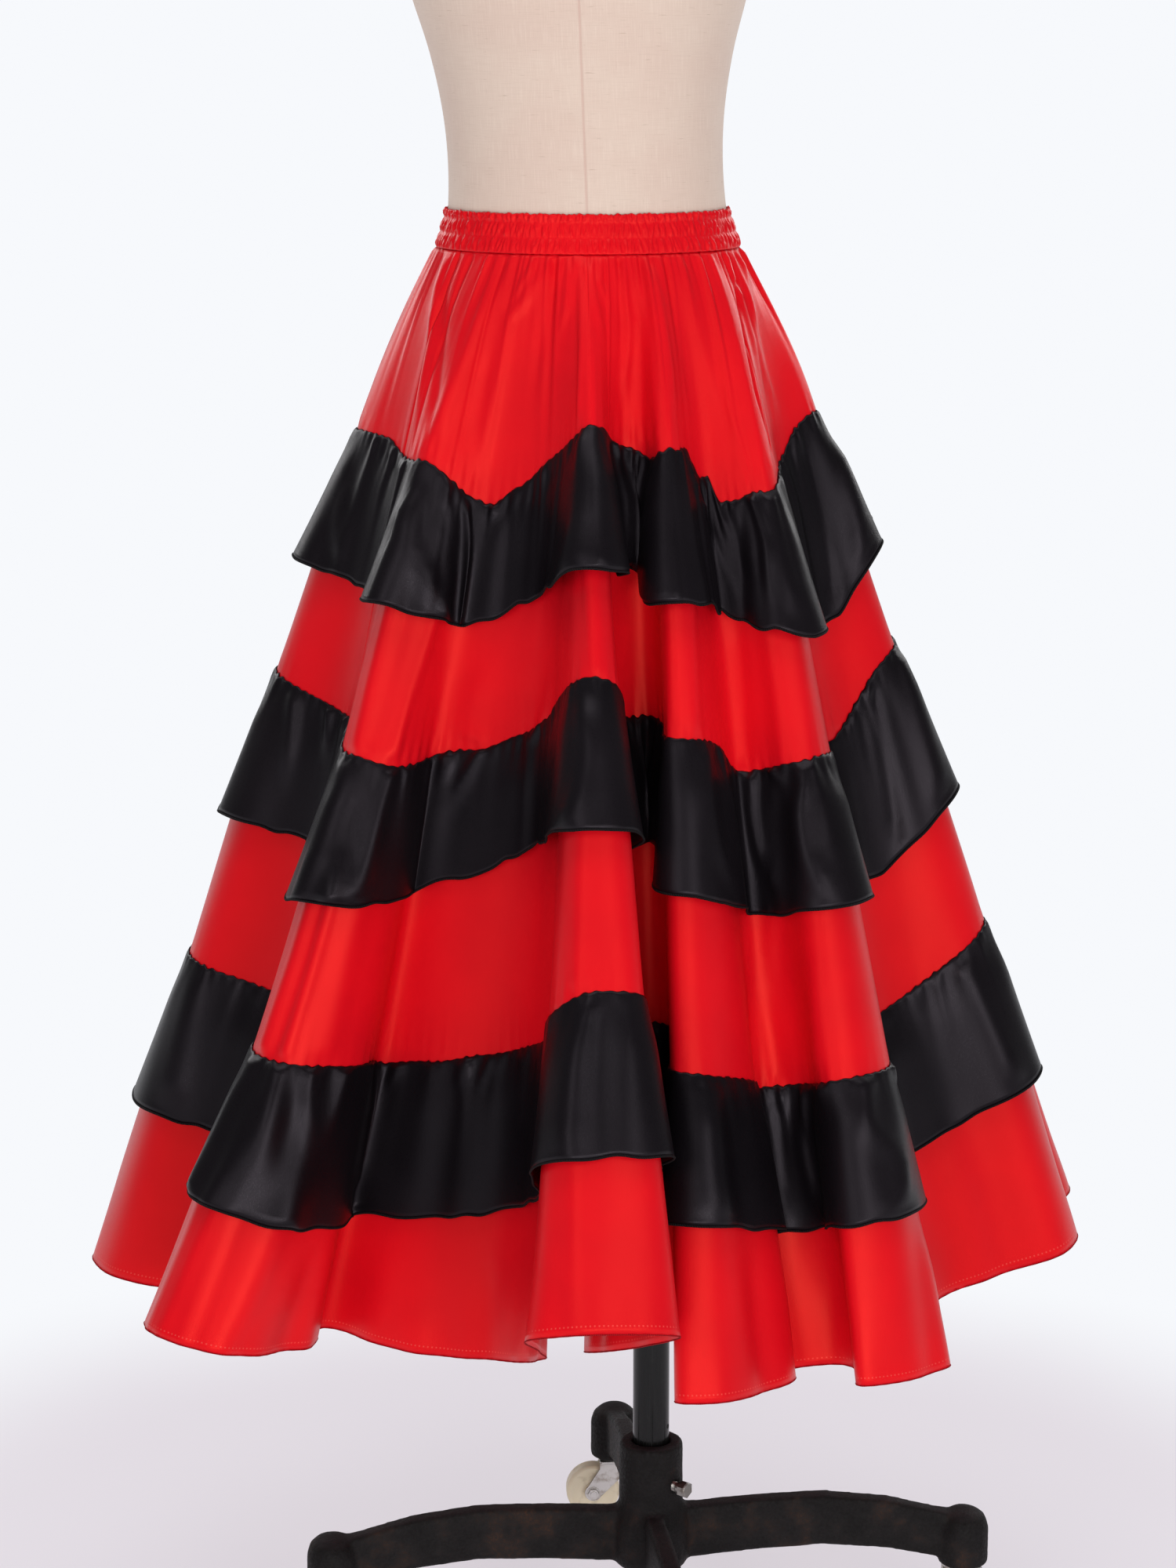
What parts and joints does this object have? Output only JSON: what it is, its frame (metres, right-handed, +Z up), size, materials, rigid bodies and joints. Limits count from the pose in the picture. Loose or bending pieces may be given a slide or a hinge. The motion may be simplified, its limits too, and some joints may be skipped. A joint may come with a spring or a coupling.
{
  "type": "flamenco skirt on limbless dress form with rolling stand",
  "caption": "Long flared satin skirt with contrast gathered ruffles and shirred elastic waistband, worn by a limbless dress form on a pole and cast rolling base.",
  "frame": {"origin": "centre of the whole part's box at floor level", "axes": "+Z up, the skirt's front faces -Y, +X is towards the wearer's left"},
  "size_m": [0.8446, 0.8166, 1.697],
  "materials": {
    "red_satin": "bright red polyester satin with a soft sheen",
    "black_satin": "black polyester satin with a soft sheen",
    "linen": "matt beige linen with slubs",
    "black_pole": "gloss black",
    "cast_iron": "rough black with worn brownish tints",
    "screw_steel": "dull blackened steel",
    "fork_steel": "zinc-plated, dull",
    "wheel_plastic": "cream nylon"
  },
  "bodies": {
    "base": {"cast_base": "cast_iron", "set_screw": "screw_steel"},
    "dressed_form": {"stand_pole": "black_pole", "form_torso": "linen", "waistband": "red_satin", "skirt_front": "red_satin", "skirt_back": "red_satin", "ruffle_upper": "black_satin", "ruffle_middle": "black_satin", "ruffle_lower": "black_satin"},
    "fork_left": {"caster_fork_left": "fork_steel"},
    "wheel_left": {"caster_wheel_left": "wheel_plastic"},
    "fork_right": {"caster_fork_right": "fork_steel"},
    "wheel_right": {"caster_wheel_right": "wheel_plastic"},
    "fork_far": {"caster_fork_far": "fork_steel"},
    "wheel_far": {"caster_wheel_far": "wheel_plastic"},
    "fork_near": {"caster_fork_near": "fork_steel"},
    "wheel_near": {"caster_wheel_near": "wheel_plastic"}
  },
  "joints": [
    {"name": "pole_height", "type": "slide", "parent": "base", "child": "dressed_form", "axis": [0, 0, 1], "range_m": [0, 0.06]},
    {"name": "caster_swivel_left", "type": "hinge", "parent": "base", "child": "fork_left", "pos_m": [-0.21935, -0.02781, 0.0567], "axis": [0, 0, 1], "continuous": true},
    {"name": "wheel_roll_left", "type": "hinge", "parent": "fork_left", "child": "wheel_left", "pos_m": [-0.23789, -0.02032, 0.025], "axis": [-0.3746, -0.9272, 0], "continuous": true},
    {"name": "caster_swivel_right", "type": "hinge", "parent": "base", "child": "fork_right", "pos_m": [0.32544, 0.03137, 0.0567], "axis": [0, 0, 1], "continuous": true},
    {"name": "wheel_roll_right", "type": "hinge", "parent": "fork_right", "child": "wheel_right", "pos_m": [0.30732, 0.02292, 0.025], "axis": [0.4226, -0.9063, 0], "continuous": true},
    {"name": "caster_swivel_far", "type": "hinge", "parent": "base", "child": "fork_far", "pos_m": [0.02346, 0.27418, 0.0567], "axis": [0, 0, 1], "continuous": true},
    {"name": "wheel_roll_far", "type": "hinge", "parent": "fork_far", "child": "wheel_far", "pos_m": [0.00348, 0.27313, 0.025], "axis": [0.0523, -0.9986, 0], "continuous": true},
    {"name": "caster_swivel_near", "type": "hinge", "parent": "base", "child": "fork_near", "pos_m": [0.08264, -0.27062, 0.0567], "axis": [0, 0, 1], "continuous": true},
    {"name": "wheel_roll_near", "type": "hinge", "parent": "fork_near", "child": "wheel_near", "pos_m": [0.1003, -0.26123, 0.025], "axis": [-0.4695, 0.8829, 0], "continuous": true}
  ]
}
